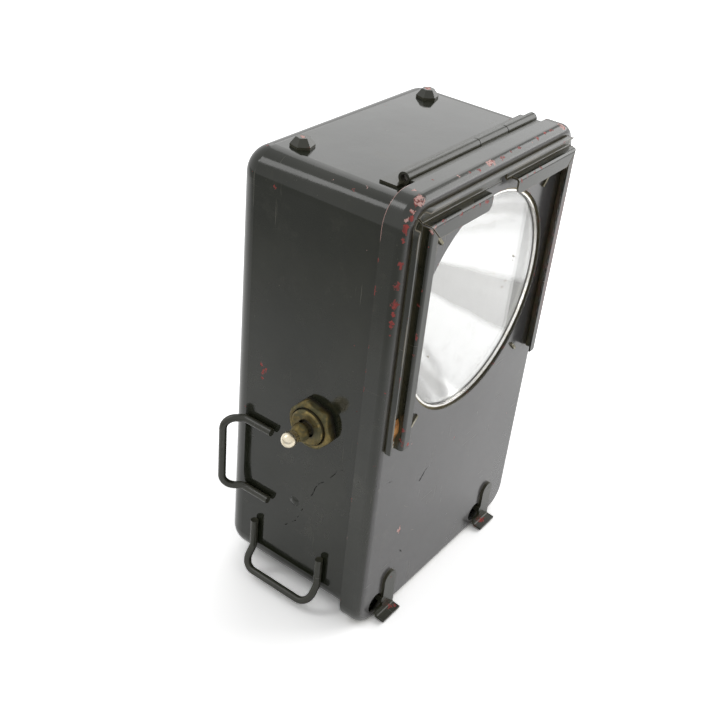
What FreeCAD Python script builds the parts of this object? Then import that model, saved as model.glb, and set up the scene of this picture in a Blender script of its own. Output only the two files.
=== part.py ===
import math
import os
import FreeCAD
import Part

V = FreeCAD.Vector

# Working frame in millimetres: X to the viewer's right of the lens side, Y rearward
# from the cover's front face, Z up from the underside of the case

# Case and cover
case_width = 86.8
case_height = 145.0
body_depth = 58.6
sheet = 0.8
case_corner_radius = 8.0
case_rear_radius = 7.0
cover_depth = 7.5
cover_side_overhang = 1.8
cover_end_overhang = 2.8
cover_corner_radius = 9.0
cover_front_rounding = 3.0
case_rim_setback = 2.6
seat_gap = 0.3
running_clearance = 0.05

# Lens, reflector and bulb
lens_drop = 42.6
lens_hole_radius = 35.2
lens_ring_inner_radius = 34.0
lens_seat_radius = 37.4
lens_ring_thickness = 0.8
lens_thickness = 1.8
reflector_mouth_radius = 33.8
reflector_sheet = 0.6
reflector_focal_length = 8.0
reflector_neck_radius = 6.35
reflector_rings = 6
holder_outer_radius = 6.0
holder_bore_radius = 5.1
holder_length = 10.0
holder_lip_height = 1.0
holder_collar_width = 2.2
holder_collar_thickness = 1.0
bulb_globe_radius = 5.4
bulb_neck_radius = 3.8
bulb_base_radius = 4.9
bulb_base_length = 9.5
bulb_base_setback = 0.6
bulb_thread_pitch = 1.8
bulb_thread_depth = 0.5
bulb_solder_step = 1.0
bulb_neck_length = 1.2
bulb_contact_radius = 1.6
bulb_contact_height = 1.4
clip_x = 28.75
clip_rise = 30.5
clip_drop = 28.4
clip_blade = 0.9
clip_tab_length = 4.0
clip_tab_proud = 0.7
clip_hook_depth = 1.0
clip_slot_clearance = 0.2

# Filter frame in front of the lens
frame_half_width = 42.9
frame_top_drop = 2.8
frame_length = 75.0
frame_sheet = 0.6
frame_bend_radius = 0.7
frame_outer_wall = 2.4
frame_groove_width = 4.0
frame_inner_wall = 3.7
frame_side_lip = 3.4
frame_top_groove_width = 3.6
frame_top_lip = 4.7
frame_mitre_gap = 0.25
frame_corner_radius = 7.0
frame_left_lip_end = -9.3
frame_right_lip_start = 4.6
frame_lip_end_radius = 2.2
frame_notch_x = 1.0
frame_notch_width = 3.0
frame_notch_rim = 1.2
frame_lip_cut_overrun = 0.2
leaf_width = 2.5
leaf_thickness = 0.4
leaf_length = 10.0
leaf_rise = 1.0
leaf_foot_gap = 1.0
leaf_bend_radius = 1.0
leaf_flat_share = 0.28
leaf_ramp_share = 0.55
leaf_crest_share = 0.8
leaf_tip_share = 0.4
leaf_first_rivet = 0.7
leaf_rivet_spacing = 1.3
leaf_rivet_radius = 0.5
leaf_rivet_height = 0.5

# Hinge on top
hinge_y = 12.0
hinge_rise = 1.8
hinge_left = -30.5
hinge_right = 36.9
hinge_knuckle_start = 4.6
hinge_knuckle_end = 20.0
hinge_knuckle_gap = 0.3
hinge_barrel_radius = 1.8
hinge_pin_radius = 1.0
hinge_leaf_thickness = 0.6
hinge_leaf_overrun = 3.0
case_leaf_depth = 5.5
cover_leaf_depth = 7.0
cover_leaf_overlap = 2.2
hinge_pin_left_inset = 1.5
hinge_pin_right_inset = 0.5

# Studs
stud_x = 30.6
stud_y = 46.0
stud_base_width = 7.2
stud_tip_width = 4.0
stud_height = 2.8
stud_skirt = 0.7
stud_turn = 15.0

# Strap loops on the left side
wire_radius = 1.25
wire_seat_gap = 0.2
side_loop_low_z = 30.2
side_loop_high_z = 57.3
side_loop_leg_start_y = 39.6
side_loop_bend_y = 50.5
side_loop_bar_y = 55.6
base_loop_front_y = 17.4
base_loop_rear_y = 44.8
base_loop_leg_top_z = 18.5
base_loop_bend_z = 7.4
base_loop_bar_z = 1.6
loop_bar_reach = 6.0
loop_corner_radius = 4.2
loop_kink_radius = 2.6

# Toggle switch on the left side
switch_y = 24.3
switch_drop = 33.7
bush_radius = 5.8
bush_bore_radius = 3.9
bush_stand = 4.6
bush_lip_radius = 3.0
bush_lip_thickness = 0.8
bush_chamfer = 0.5
nut_across_corners = 18.2
nut_thickness = 4.0
nut_crown = 0.9
nut_crown_run = 1.6
nut_corner_relief = 0.3
nut_turn = 12.0
nut_bore_radius = 5.95
switch_body_depth = 16.0
switch_body_width = 14.0
switch_body_height = 22.0
switch_plate = 1.2
switch_plate_margin = 1.0
switch_seat = 0.2
terminal_width = 4.0
terminal_thickness = 0.8
terminal_length = 6.0
terminal_spacing = 12.0
terminal_eye_radius = 0.8
terminal_eye_inset = 1.8
lever_pivot_depth = 1.0
lever_pivot_radius = 3.6
lever_pin_radius = 0.8
lever_neck_radius = 1.9
lever_waist_radius = 1.45
lever_ball_radius = 3.0
lever_ball_reach = 12.0
lever_neck_share = 0.6
lever_waist_share = 0.7

# Catches at the foot of the cover
catch_x = 30.0
catch_tongue_width = 6.0
catch_thickness = 1.0
catch_top_z = 14.5
catch_foot_z = -1.4
catch_tongue_end = 1.0
catch_lip_root = 1.5
catch_lip_width = 9.0
catch_lip_shift = -1.2
catch_lip_front = 4.0
catch_lip_drop = 0.4
catch_bend_radius = 1.1
catch_hole_radius = 3.5
catch_hole_offset = -6.0
catch_hole_z = 4.5
catch_blade_thickness = 0.8
catch_blade_height = 1.8
catch_blade_reach = 6.6
keeper_length = 9.0
keeper_height = 5.5
keeper_foot = 5.0
keeper_thickness = 0.8
keeper_inset = 0.5
keeper_bend_radius = 0.9

# Battery and its fittings
battery_width = 62.0
battery_depth = 21.5
battery_height = 63.0
battery_edge_radius = 1.5
battery_rear_space = 3.4
battery_strap_height = 15.0
battery_strap_z = 34.5
battery_strap_flange = 9.0
strap_rivet_inset = 2.3
strap_bend_radius = 0.8
rivet_head_radius = 1.4
rivet_head_height = 0.6
rivet_dome_radius = 3.0
rivet_shank_radius = 0.9
rivet_hole_clearance = 0.1
tongue_width = 7.0
tongue_thickness = 0.3
short_tongue_x = -18.0
long_tongue_x = 16.0
short_tongue_reach = 9.0
long_tongue_reach = -22.0
tongue_rise = 2.5
tongue_lift = 1.0
tongue_bend_radius = 0.6
board_left = -24.0
board_right = 36.0
board_depth = 20.5
board_rise = 8.5
board_thickness = 1.5
bracket_width = 8.0
bracket_shelf = 9.0
bracket_leg = 8.0
bracket_inset = 3.0
bracket_bend_radius = 1.2
contact_width = 6.0
contact_thickness = 0.5
contact_foot = 9.0
contact_return = 6.0
contact_shoulder_run = 2.2
contact_shoulder_drop = 2.6
contact_bend_radius = 0.8
contact_end_gap = 0.65
lamp_contact_width = 7.0
lamp_contact_gap = 0.3
lamp_contact_foot = 10.0
lamp_contact_lean = 1.0
lamp_contact_straight = 10.0
lamp_contact_rise = 5.0
lamp_contact_bend_radius = 1.5
board_rivet_radius = 1.2
board_rivet_height = 0.7
board_rivet_offset = 6.0
lamp_rivet_front = 7.5
lamp_rivet_rear = 4.0
lead_radius = 0.7
lead_gap = 0.2
lead_straight = 5.5
lead_bend_radius = 2.2
lead_end_radius = 1.6
lead_battery_gap = 1.6
lead_board_gap = 0.8
lead_dip = 0.4

# Values that follow from the ones above
half_width = case_width / 2
face_x = -half_width
cover_half_width = half_width + cover_side_overhang
cover_low = -cover_end_overhang
cover_high = case_height + cover_end_overhang
lens_centre_z = case_height - lens_drop
switch_z = lens_centre_z - switch_drop
frame_top = cover_high - frame_top_drop
frame_bottom = frame_top - frame_length
hinge_z = case_height + hinge_rise
inner_half_width = half_width - sheet
rear_inner = body_depth - sheet
glass_front = sheet + lens_ring_thickness
flange_front = glass_front + lens_thickness
bowl_depth = reflector_mouth_radius ** 2 / (4 * reflector_focal_length)
bowl_vertex = flange_front + bowl_depth
neck_y = bowl_vertex - reflector_neck_radius ** 2 / (4 * reflector_focal_length)
battery_rear = rear_inner - battery_rear_space
battery_front = battery_rear - battery_depth
battery_mid = (battery_front + battery_rear) / 2
battery_foot = sheet + seat_gap
battery_top = battery_foot + battery_height
strap_mid = battery_front - seat_gap - sheet / 2
strap_rivet_y = strap_mid - strap_rivet_inset
board_z = battery_top + board_rise
ball_tip_x = face_x - lever_ball_reach - lever_ball_radius
origin_x = (ball_tip_x + cover_half_width) / 2
origin_y = (body_depth - catch_lip_front) / 2


def box(x0, x1, y0, y1, z0, z1):
    return Part.makeBox(x1 - x0, y1 - y0, z1 - z0, V(x0, y0, z0))


def along_y(radius, x, z, y0, y1):
    return Part.makeCylinder(radius, y1 - y0, V(x, y0, z), V(0, 1, 0))


def along_x(radius, y, z, x0, x1):
    return Part.makeCylinder(radius, x1 - x0, V(x0, y, z), V(1, 0, 0))


def along_z(radius, x, y, z0, z1):
    return Part.makeCylinder(radius, z1 - z0, V(x, y, z0), V(0, 0, 1))


def prism(points, direction):
    wire = Part.makePolygon(points + [points[0]])
    return Part.Face(wire).extrude(direction)


def rounded_block(half, low, high, y0, y1, radius):
    block = box(-half, half, y0, y1, low, high)
    edges = [e for e in block.Edges if abs(e.tangentAt(e.FirstParameter).y) > 0.99]
    return block.makeFillet(radius, edges)


def round_face_edges(solid, y, radius):
    edges = []
    for edge in solid.Edges:
        box_y = edge.BoundBox
        if abs(box_y.YMin - y) < 0.01 and abs(box_y.YMax - y) < 0.01:
            edges.append(edge)
    return solid.makeFillet(radius, edges)


def unit(vector):
    return vector * (1.0 / vector.Length)


def offset_points(points, distance, normal):
    moved = []
    last = len(points) - 1
    for i, point in enumerate(points):
        if i == 0:
            side = normal.cross(unit(points[1] - point))
            moved.append(point + side * distance)
        elif i == last:
            side = normal.cross(unit(point - points[i - 1]))
            moved.append(point + side * distance)
        else:
            a = normal.cross(unit(point - points[i - 1]))
            b = normal.cross(unit(points[i + 1] - point))
            middle = unit(a + b)
            moved.append(point + middle * (distance / middle.dot(a)))
    return moved


def rounded_path(points, radii):
    edges = []
    start = points[0]
    for i in range(1, len(points) - 1):
        before = unit(points[i - 1] - points[i])
        after = unit(points[i + 1] - points[i])
        half_angle = before.getAngle(after) / 2
        radius = radii[i - 1]
        run = radius / math.tan(half_angle)
        enter = points[i] + before * run
        leave = points[i] + after * run
        centre = points[i] + unit(before + after) * (radius / math.sin(half_angle))
        middle = centre + unit(points[i] - centre) * radius
        if (enter - start).Length > 1e-6:
            edges.append(Part.makeLine(start, enter))
        edges.append(Part.Arc(enter, middle, leave).toShape())
        start = leave
    edges.append(Part.makeLine(start, points[-1]))
    return edges


def bent_strip(points, thickness, radius, direction):
    """A sheet strip whose centre line follows the points, extruded along direction."""
    normal = unit(direction)
    sides = []
    for sign in (1, -1):
        radii = []
        for i in range(1, len(points) - 1):
            turn = (points[i] - points[i - 1]).cross(points[i + 1] - points[i]).dot(normal)
            bulge = -sign if turn > 0 else sign
            radii.append(radius + bulge * thickness / 2)
        line = offset_points(points, sign * thickness / 2, normal)
        sides.append(rounded_path(line, radii))
    first = sides[0]
    second = sides[1]
    ends = []
    for edges in (first, second):
        ends.append((edges[0].Vertexes[0].Point, edges[-1].Vertexes[-1].Point))
    caps = [Part.makeLine(ends[0][0], ends[1][0]), Part.makeLine(ends[0][1], ends[1][1])]
    wire = Part.Wire(Part.__sortEdges__(first + second + caps))
    return Part.Face(wire).extrude(direction)


def wire_loop(points, radii, radius):
    edges = rounded_path(points, radii)
    spine = Part.Wire(edges)
    start = points[0]
    heading = unit(points[1] - points[0])
    profile = Part.Wire([Part.makeCircle(radius, start, heading)])
    return spine.makePipeShell([profile], True, False)


def turned(profile, x, z):
    """Spin a list of radius and depth pairs about a line along Y."""
    points = [V(x + r, y, z) for r, y in profile]
    face = Part.Face(Part.makePolygon(points + [points[0]]))
    return face.revolve(V(x, 0, z), V(0, 1, 0), 360)


def join(shapes):
    result = shapes[0]
    for shape in shapes[1:]:
        result = result.fuse(shape)
    return result.removeSplitter()


parts = {}

# Case shell, open at the front, with a hole for the switch bush
outer = rounded_block(half_width, 0, case_height, case_rim_setback, body_depth, case_corner_radius)
outer = round_face_edges(outer, body_depth, case_rear_radius)
inner = rounded_block(inner_half_width, sheet, case_height - sheet, case_rim_setback,
                      rear_inner, case_corner_radius - sheet)
inner = round_face_edges(inner, rear_inner, case_rear_radius - sheet)
bush_hole = along_x(bush_radius + seat_gap, switch_y, switch_z, face_x - 1, face_x + 2)
shell = outer.cut(inner).cut(bush_hole)
for side in (-1, 1):
    edge_x = side * half_width
    hole = along_x(rivet_shank_radius + rivet_hole_clearance, strap_rivet_y, battery_strap_z,
                   edge_x - 2 * sheet, edge_x + 2 * sheet)
    shell = shell.cut(hole)
parts["case_shell"] = shell

# Cover pan with the lens hole, clip slots and the two catch holes
pan_outer = rounded_block(cover_half_width, cover_low, cover_high, 0, cover_depth, cover_corner_radius)
pan_outer = round_face_edges(pan_outer, 0, cover_front_rounding)
pan_inner = rounded_block(cover_half_width - sheet, cover_low + sheet, cover_high - sheet, sheet,
                          cover_depth, cover_corner_radius - sheet)
pan_inner = round_face_edges(pan_inner, sheet, cover_front_rounding - sheet)
pan = pan_outer.cut(pan_inner)
pan = pan.cut(along_y(lens_hole_radius, 0, lens_centre_z, -1, sheet + 1))

clip_spots = []
for side in (-1, 1):
    for rise in (clip_rise, -clip_drop):
        clip_spots.append((side * clip_x, rise))


def clip_shape(dx, dz, clearance):
    distance = math.hypot(dx, dz)
    angle = math.degrees(math.atan2(dz, dx))
    low = distance - clip_tab_length / 2 - clearance
    high = distance + clip_tab_length / 2 + clearance
    thick = clip_blade / 2 + clearance
    blade = box(low, high, -clip_tab_proud, flange_front + reflector_sheet + clip_hook_depth,
                -thick, thick)
    if clearance == 0:
        hook = box(lens_seat_radius - clip_hook_depth, high, flange_front + reflector_sheet,
                   flange_front + reflector_sheet + clip_hook_depth, -thick, thick)
        blade = join([blade, hook])
    blade.rotate(V(0, 0, 0), V(0, 1, 0), -angle)
    blade.translate(V(0, 0, lens_centre_z))
    return blade


clips = []
for dx, dz in clip_spots:
    pan = pan.cut(clip_shape(dx, dz, clip_slot_clearance))
    clips.append(clip_shape(dx, dz, 0))
for side in (-1, 1):
    hole_x = side * catch_x + catch_hole_offset
    pan = pan.cut(along_y(catch_hole_radius, hole_x, catch_hole_z, -1, sheet + 1))
parts["cover_shell"] = pan
parts["reflector_clips"] = Part.makeCompound(clips)

# Lens ring, lens glass and reflector
parts["lens_ring"] = turned([(lens_ring_inner_radius, sheet), (lens_seat_radius, sheet),
                             (lens_seat_radius, glass_front), (lens_ring_inner_radius, glass_front)],
                            0, lens_centre_z)
parts["lens_glass"] = along_y(lens_seat_radius, 0, lens_centre_z, glass_front, flange_front)


def bowl_point(part, shift):
    """A point on the parabola, from the mouth at 0 to the neck at 1."""
    r = reflector_mouth_radius + (reflector_neck_radius - reflector_mouth_radius) * part
    y = bowl_vertex - r ** 2 / (4 * reflector_focal_length)
    return V(r + shift, y, lens_centre_z)


def bowl_edge(shift):
    """The parabola as a chain of arcs."""
    arcs = []
    for i in range(reflector_rings):
        start = bowl_point(i / reflector_rings, shift)
        middle = bowl_point((i + 0.5) / reflector_rings, shift)
        end = bowl_point((i + 1) / reflector_rings, shift)
        arcs.append(Part.Arc(start, middle, end).toShape())
    return arcs


inside = bowl_edge(0)
outside = bowl_edge(reflector_sheet)
mouth = Part.makeLine(bowl_point(0, 0), bowl_point(0, reflector_sheet))
throat = Part.makeLine(bowl_point(1, 0), bowl_point(1, reflector_sheet))
flange_back = flange_front + reflector_sheet
bowl_face = Part.Face(Part.Wire(Part.__sortEdges__(inside + outside + [mouth, throat])))
bowl = bowl_face.revolve(V(0, 0, lens_centre_z), V(0, 1, 0), 360)
rim = turned([(reflector_mouth_radius, flange_front), (lens_seat_radius, flange_front),
              (lens_seat_radius, flange_back), (reflector_mouth_radius, flange_back)],
             0, lens_centre_z)
parts["reflector"] = join([bowl, rim])

# Bulb and its screw holder behind the reflector
holder_front = neck_y - holder_lip_height
holder_back = holder_front + holder_length
holder = turned([(holder_bore_radius, holder_front), (holder_outer_radius, holder_front),
                 (holder_outer_radius, holder_back), (holder_bore_radius, holder_back)],
                0, lens_centre_z)
collar_front = neck_y + reflector_sheet + seat_gap
collar_back = collar_front + holder_collar_thickness
collar_radius = holder_outer_radius + holder_collar_width
collar = turned([(holder_bore_radius, collar_front), (collar_radius, collar_front),
                 (collar_radius, collar_back), (holder_bore_radius, collar_back)],
                0, lens_centre_z)
parts["bulb_holder"] = join([holder, collar])
base_front = holder_front + bulb_base_setback
base_back = base_front + bulb_base_length
base_profile = [(0, base_front), (bulb_base_radius, base_front)]
ridge = base_front
while ridge + bulb_thread_pitch < base_back:
    base_profile.append((bulb_base_radius - bulb_thread_depth, ridge + bulb_thread_pitch / 2))
    base_profile.append((bulb_base_radius, ridge + bulb_thread_pitch))
    ridge = ridge + bulb_thread_pitch
base_profile.append((bulb_contact_radius + bulb_solder_step, base_back))
base_profile.append((bulb_contact_radius, base_back))
base_profile.append((bulb_contact_radius, base_back + bulb_contact_height))
base_profile.append((0, base_back + bulb_contact_height))
parts["bulb_base"] = turned(base_profile, 0, lens_centre_z)
globe_y = base_front - bulb_globe_radius - bulb_neck_length
globe = Part.makeSphere(bulb_globe_radius, V(0, globe_y, lens_centre_z))
neck = along_y(bulb_neck_radius, 0, lens_centre_z, globe_y, base_front)
parts["bulb_glass"] = join([globe, neck])
contact_y = base_back + bulb_contact_height

# Filter frame made of three folded strips with mitred corners


def rail_section(edge, groove, lip, axis_points):
    half = frame_sheet / 2
    return [axis_points(edge - half, frame_outer_wall),
            axis_points(edge - half, half),
            axis_points(edge - groove - half, half),
            axis_points(edge - groove - half, frame_inner_wall - half),
            axis_points(edge - groove - half - lip + half, frame_inner_wall - half)]


def mitre_block(side, keep_top):
    """Half space wedge along the diagonal of a top corner."""
    reach = frame_half_width
    corner = V(side * frame_half_width, -reach / 2, frame_top)
    shift = frame_mitre_gap if keep_top else -frame_mitre_gap
    a = corner + V(side * reach, 0, reach + shift)
    b = corner + V(-side * reach, 0, -reach + shift)
    c = b + V(0, 0, -reach * 3 if keep_top else reach * 3)
    d = a + V(0, 0, -reach * 3 if keep_top else reach * 3)
    return prism([a, b, c, d], V(0, reach, 0))


def side_rail(side):
    points = rail_section(frame_half_width, frame_groove_width, frame_side_lip,
                          lambda u, h: V(side * u, -h, frame_bottom))
    rail = bent_strip(points, frame_sheet, frame_bend_radius, V(0, 0, frame_top - frame_bottom))
    return rail.cut(mitre_block(side, False))


def top_rail():
    points = rail_section(frame_top, frame_top_groove_width, frame_top_lip,
                          lambda u, h: V(-frame_half_width, -h, u))
    rail = bent_strip(points, frame_sheet, frame_bend_radius, V(2 * frame_half_width, 0, 0))
    for side in (-1, 1):
        rail = rail.cut(mitre_block(side, True))
    lip_low = frame_top - frame_top_groove_width - frame_top_lip - 1
    fold = frame_top - frame_top_groove_width
    gap = box(frame_left_lip_end, frame_right_lip_start, -frame_inner_wall - 1,
              -frame_sheet - seat_gap, lip_low, fold + frame_lip_cut_overrun)
    rail = rail.cut(gap)
    notch = box(frame_notch_x - frame_notch_width / 2, frame_notch_x + frame_notch_width / 2,
                -frame_inner_wall - 1, 1, lip_low, frame_top - frame_sheet - frame_notch_rim)
    return rail.cut(notch)


def round_lip_ends(rail):
    picked = []
    lip_low = frame_top - frame_top_groove_width - frame_top_lip
    for edge in rail.Edges:
        bounds = edge.BoundBox
        along = abs(bounds.XLength) < 0.01 and abs(bounds.ZLength) < 0.01
        at_lip = abs(bounds.ZMin - lip_low) < 0.05
        at_end = min(abs(bounds.XMin - frame_left_lip_end), abs(bounds.XMin - frame_right_lip_start)) < 0.01
        if along and at_lip and at_end and bounds.YMin < -frame_inner_wall + 0.1:
            picked.append(edge)
    return rail.makeFillet(frame_lip_end_radius, picked)


frame_outline = rounded_block(frame_half_width, 0, frame_top, -frame_inner_wall - 1, 1,
                              frame_corner_radius)
parts["frame_rail_left"] = side_rail(-1).common(frame_outline)
parts["frame_rail_right"] = side_rail(1).common(frame_outline)
parts["frame_rail_top"] = round_lip_ends(top_rail()).common(frame_outline)

# Leaf spring in the groove of the left rail, held by two rivets
groove_mid = -(frame_half_width - frame_sheet - (frame_groove_width - frame_sheet) / 2)
leaf_low = frame_bottom + leaf_foot_gap
leaf_base = -frame_sheet - leaf_thickness / 2
leaf_x = groove_mid - leaf_width / 2
leaf_crest = leaf_base - leaf_rise
leaf_points = [V(leaf_x, leaf_base, leaf_low),
               V(leaf_x, leaf_base, leaf_low + leaf_length * leaf_flat_share),
               V(leaf_x, leaf_crest, leaf_low + leaf_length * leaf_ramp_share),
               V(leaf_x, leaf_crest, leaf_low + leaf_length * leaf_crest_share),
               V(leaf_x, leaf_base - leaf_rise * leaf_tip_share, leaf_low + leaf_length)]
parts["filter_leaf_spring"] = bent_strip(leaf_points, leaf_thickness, leaf_bend_radius,
                                         V(leaf_width, 0, 0))
leaf_face = leaf_base - leaf_thickness / 2
leaf_rivets = []
for i in range(2):
    rivet_z = leaf_low + leaf_first_rivet + i * leaf_rivet_spacing
    leaf_rivets.append(along_y(leaf_rivet_radius, groove_mid, rivet_z,
                               leaf_face - leaf_rivet_height, leaf_face))
parts["leaf_spring_rivets"] = Part.makeCompound(leaf_rivets)


# Hinge leaves rolled round one pin


def knuckle(x0, x1):
    tube = along_x(hinge_barrel_radius, hinge_y, hinge_z, x0, x1)
    bore = along_x(hinge_pin_radius + running_clearance, hinge_y, hinge_z, x0 - 1, x1 + 1)
    return tube.cut(bore)


gap_half = hinge_knuckle_gap / 2
pin_space = along_x(hinge_pin_radius + running_clearance, hinge_y, hinge_z,
                    hinge_left - hinge_leaf_overrun, hinge_right + hinge_leaf_overrun)
leaf_top = case_height + hinge_leaf_thickness
case_leaf = box(hinge_left - hinge_leaf_overrun, hinge_right + hinge_leaf_overrun, hinge_y,
                hinge_y + case_leaf_depth, case_height, leaf_top)
relief = box(hinge_knuckle_start - gap_half, hinge_knuckle_end + gap_half,
             hinge_y - 1, hinge_y + hinge_barrel_radius + seat_gap, case_height - 1, leaf_top + 1)
case_leaf = case_leaf.cut(relief)
case_pieces = [case_leaf]
for x0, x1 in ((hinge_left, hinge_knuckle_start - gap_half),
               (hinge_knuckle_end + gap_half, hinge_right)):
    case_pieces.append(knuckle(x0, x1))
parts["hinge_case_leaf"] = join(case_pieces).cut(pin_space)
cover_leaf_high = cover_high - sheet
cover_leaf = box(hinge_knuckle_start + gap_half, hinge_knuckle_end - gap_half,
                 hinge_y - hinge_barrel_radius - cover_leaf_overlap, hinge_y,
                 cover_leaf_high - hinge_leaf_thickness, cover_leaf_high)
cover_leaf_right = cover_half_width - cover_corner_radius
cover_strip = box(hinge_left, cover_leaf_right, hinge_y - hinge_barrel_radius - cover_leaf_depth,
                  hinge_y - hinge_barrel_radius - seat_gap,
                  cover_leaf_high - hinge_leaf_thickness, cover_leaf_high)
cover_knuckle = knuckle(hinge_knuckle_start + gap_half, hinge_knuckle_end - gap_half)
parts["hinge_cover_leaf"] = join([cover_leaf, cover_strip, cover_knuckle]).cut(pin_space)
parts["hinge_pin"] = along_x(hinge_pin_radius, hinge_y, hinge_z, hinge_left + hinge_pin_left_inset,
                             hinge_right - hinge_pin_right_inset)


# Studs on the top and under the base


def stud(x, up):
    rings = []
    for width, height in ((stud_base_width, 0), (stud_base_width, stud_skirt),
                          (stud_tip_width, stud_height)):
        corners = []
        for i in range(6):
            turn = math.radians(60 * i + stud_turn)
            corners.append(V(width / 2 * math.cos(turn), width / 2 * math.sin(turn), height))
        rings.append(Part.makePolygon(corners + [corners[0]]))
    body = Part.makeLoft(rings, True, True)
    if up:
        body.translate(V(x, stud_y, case_height))
    else:
        body = body.mirror(V(0, 0, 0), V(0, 0, 1))
        body.translate(V(x, stud_y, 0))
    return body


parts["top_studs"] = Part.makeCompound([stud(-stud_x, True), stud(stud_x, True)])
parts["base_studs"] = Part.makeCompound([stud(-stud_x, False), stud(stud_x, False)])

# Strap loops of bent wire
wire_x = face_x - wire_radius - wire_seat_gap
bar_x = face_x - loop_bar_reach
side_points = [V(wire_x, side_loop_leg_start_y, side_loop_high_z),
               V(wire_x, side_loop_bend_y, side_loop_high_z),
               V(bar_x, side_loop_bar_y, side_loop_high_z),
               V(bar_x, side_loop_bar_y, side_loop_low_z),
               V(wire_x, side_loop_bend_y, side_loop_low_z),
               V(wire_x, side_loop_leg_start_y, side_loop_low_z)]
loop_radii = [loop_kink_radius, loop_corner_radius, loop_corner_radius, loop_kink_radius]
parts["strap_loop_side"] = wire_loop(side_points, loop_radii, wire_radius)
base_points = [V(wire_x, base_loop_rear_y, base_loop_leg_top_z),
               V(wire_x, base_loop_rear_y, base_loop_bend_z),
               V(bar_x, base_loop_rear_y, base_loop_bar_z),
               V(bar_x, base_loop_front_y, base_loop_bar_z),
               V(wire_x, base_loop_front_y, base_loop_bend_z),
               V(wire_x, base_loop_front_y, base_loop_leg_top_z)]
parts["strap_loop_base"] = wire_loop(base_points, loop_radii, wire_radius)


# Toggle switch


def about_x(profile):
    """Spin pairs of X and radius about the switch's line along X."""
    points = [V(x, switch_y, switch_z + r) for x, r in profile]
    face = Part.Face(Part.makePolygon(points + [points[0]]))
    return face.revolve(V(0, switch_y, switch_z), V(1, 0, 0), 360)


bush_end = face_x - bush_stand
bush_inner = face_x + sheet + switch_seat
pivot_x = face_x - lever_pivot_depth
pin_half = bush_radius - bush_chamfer
lever_pin = along_y(lever_pin_radius, pivot_x, switch_z, switch_y - pin_half, switch_y + pin_half)
bush = about_x([
    (bush_inner, bush_bore_radius), (bush_inner, bush_radius), (bush_end + bush_chamfer, bush_radius),
    (bush_end, bush_radius - bush_chamfer), (bush_end, bush_lip_radius),
    (bush_end + bush_lip_thickness, bush_lip_radius), (bush_end + bush_lip_thickness, bush_bore_radius)])
parts["switch_bush"] = bush.cut(lever_pin)
parts["switch_pin"] = lever_pin
nut_points = []
for i in range(6):
    turn = math.radians(60 * i + nut_turn)
    nut_points.append(V(face_x - nut_thickness, switch_y + nut_across_corners / 2 * math.cos(turn),
                        switch_z + nut_across_corners / 2 * math.sin(turn)))
nut = prism(nut_points, V(nut_thickness, 0, 0))
nut_far = face_x - nut_thickness
nut_reach = nut_across_corners / 2 - nut_corner_relief
nut_limit = about_x([(face_x, 0), (face_x, nut_reach), (nut_far + nut_crown, nut_reach),
                     (nut_far, nut_reach - nut_crown_run), (nut_far, 0)])
nut = nut.common(nut_limit).cut(along_x(nut_bore_radius, switch_y, switch_z, nut_far - 1, face_x + 1))
parts["switch_nut"] = nut
body_near = bush_inner
plate_half = switch_body_width / 2 + switch_plate_margin
plate_rise = switch_body_height / 2 + switch_plate_margin
plate = box(body_near, body_near + switch_plate, switch_y - plate_half, switch_y + plate_half,
            switch_z - plate_rise, switch_z + plate_rise)
pivot_space = along_x(bush_bore_radius, switch_y, switch_z, body_near - 1,
                      face_x - lever_pivot_depth + lever_pivot_radius + seat_gap)
parts["switch_plate"] = plate.cut(pivot_space)
body_far = body_near + switch_plate + switch_body_depth
switch_block = box(body_near + switch_plate, body_far, switch_y - switch_body_width / 2,
                   switch_y + switch_body_width / 2, switch_z - switch_body_height / 2,
                   switch_z + switch_body_height / 2)
parts["switch_body"] = switch_block.cut(pivot_space)
terminals = []
for step in (-0.5, 0.5):
    z = switch_z + step * terminal_spacing
    lug = box(body_far, body_far + terminal_length, switch_y - terminal_width / 2,
              switch_y + terminal_width / 2, z - terminal_thickness / 2, z + terminal_thickness / 2)
    eye = along_z(terminal_eye_radius, body_far + terminal_length - terminal_eye_inset, switch_y,
                  z - terminal_thickness, z + terminal_thickness)
    terminals.append(lug.cut(eye))
parts["switch_terminals"] = Part.makeCompound(terminals)

# Lever with a pivot ball on the pin inside the bush and a ball tip outside
ball_x = face_x - lever_ball_reach
pivot_ball = Part.makeSphere(lever_pivot_radius, V(pivot_x, switch_y, switch_z))
neck_start = pivot_x - lever_pivot_radius * lever_neck_share
neck_end = ball_x + lever_ball_radius * lever_waist_share
neck = about_x([(pivot_x, 0), (pivot_x, lever_neck_radius), (neck_start, lever_neck_radius),
                (neck_end, lever_waist_radius), (ball_x, lever_waist_radius), (ball_x, 0)])
tip = Part.makeSphere(lever_ball_radius, V(ball_x, switch_y, switch_z))
pin_bore = along_y(lever_pin_radius + running_clearance, pivot_x, switch_z,
                   switch_y - lever_pivot_radius - 1, switch_y + lever_pivot_radius + 1)
parts["switch_lever"] = join([pivot_ball, neck, tip]).cut(pin_bore)

# Catches on the cover and their keepers in the case


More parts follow.
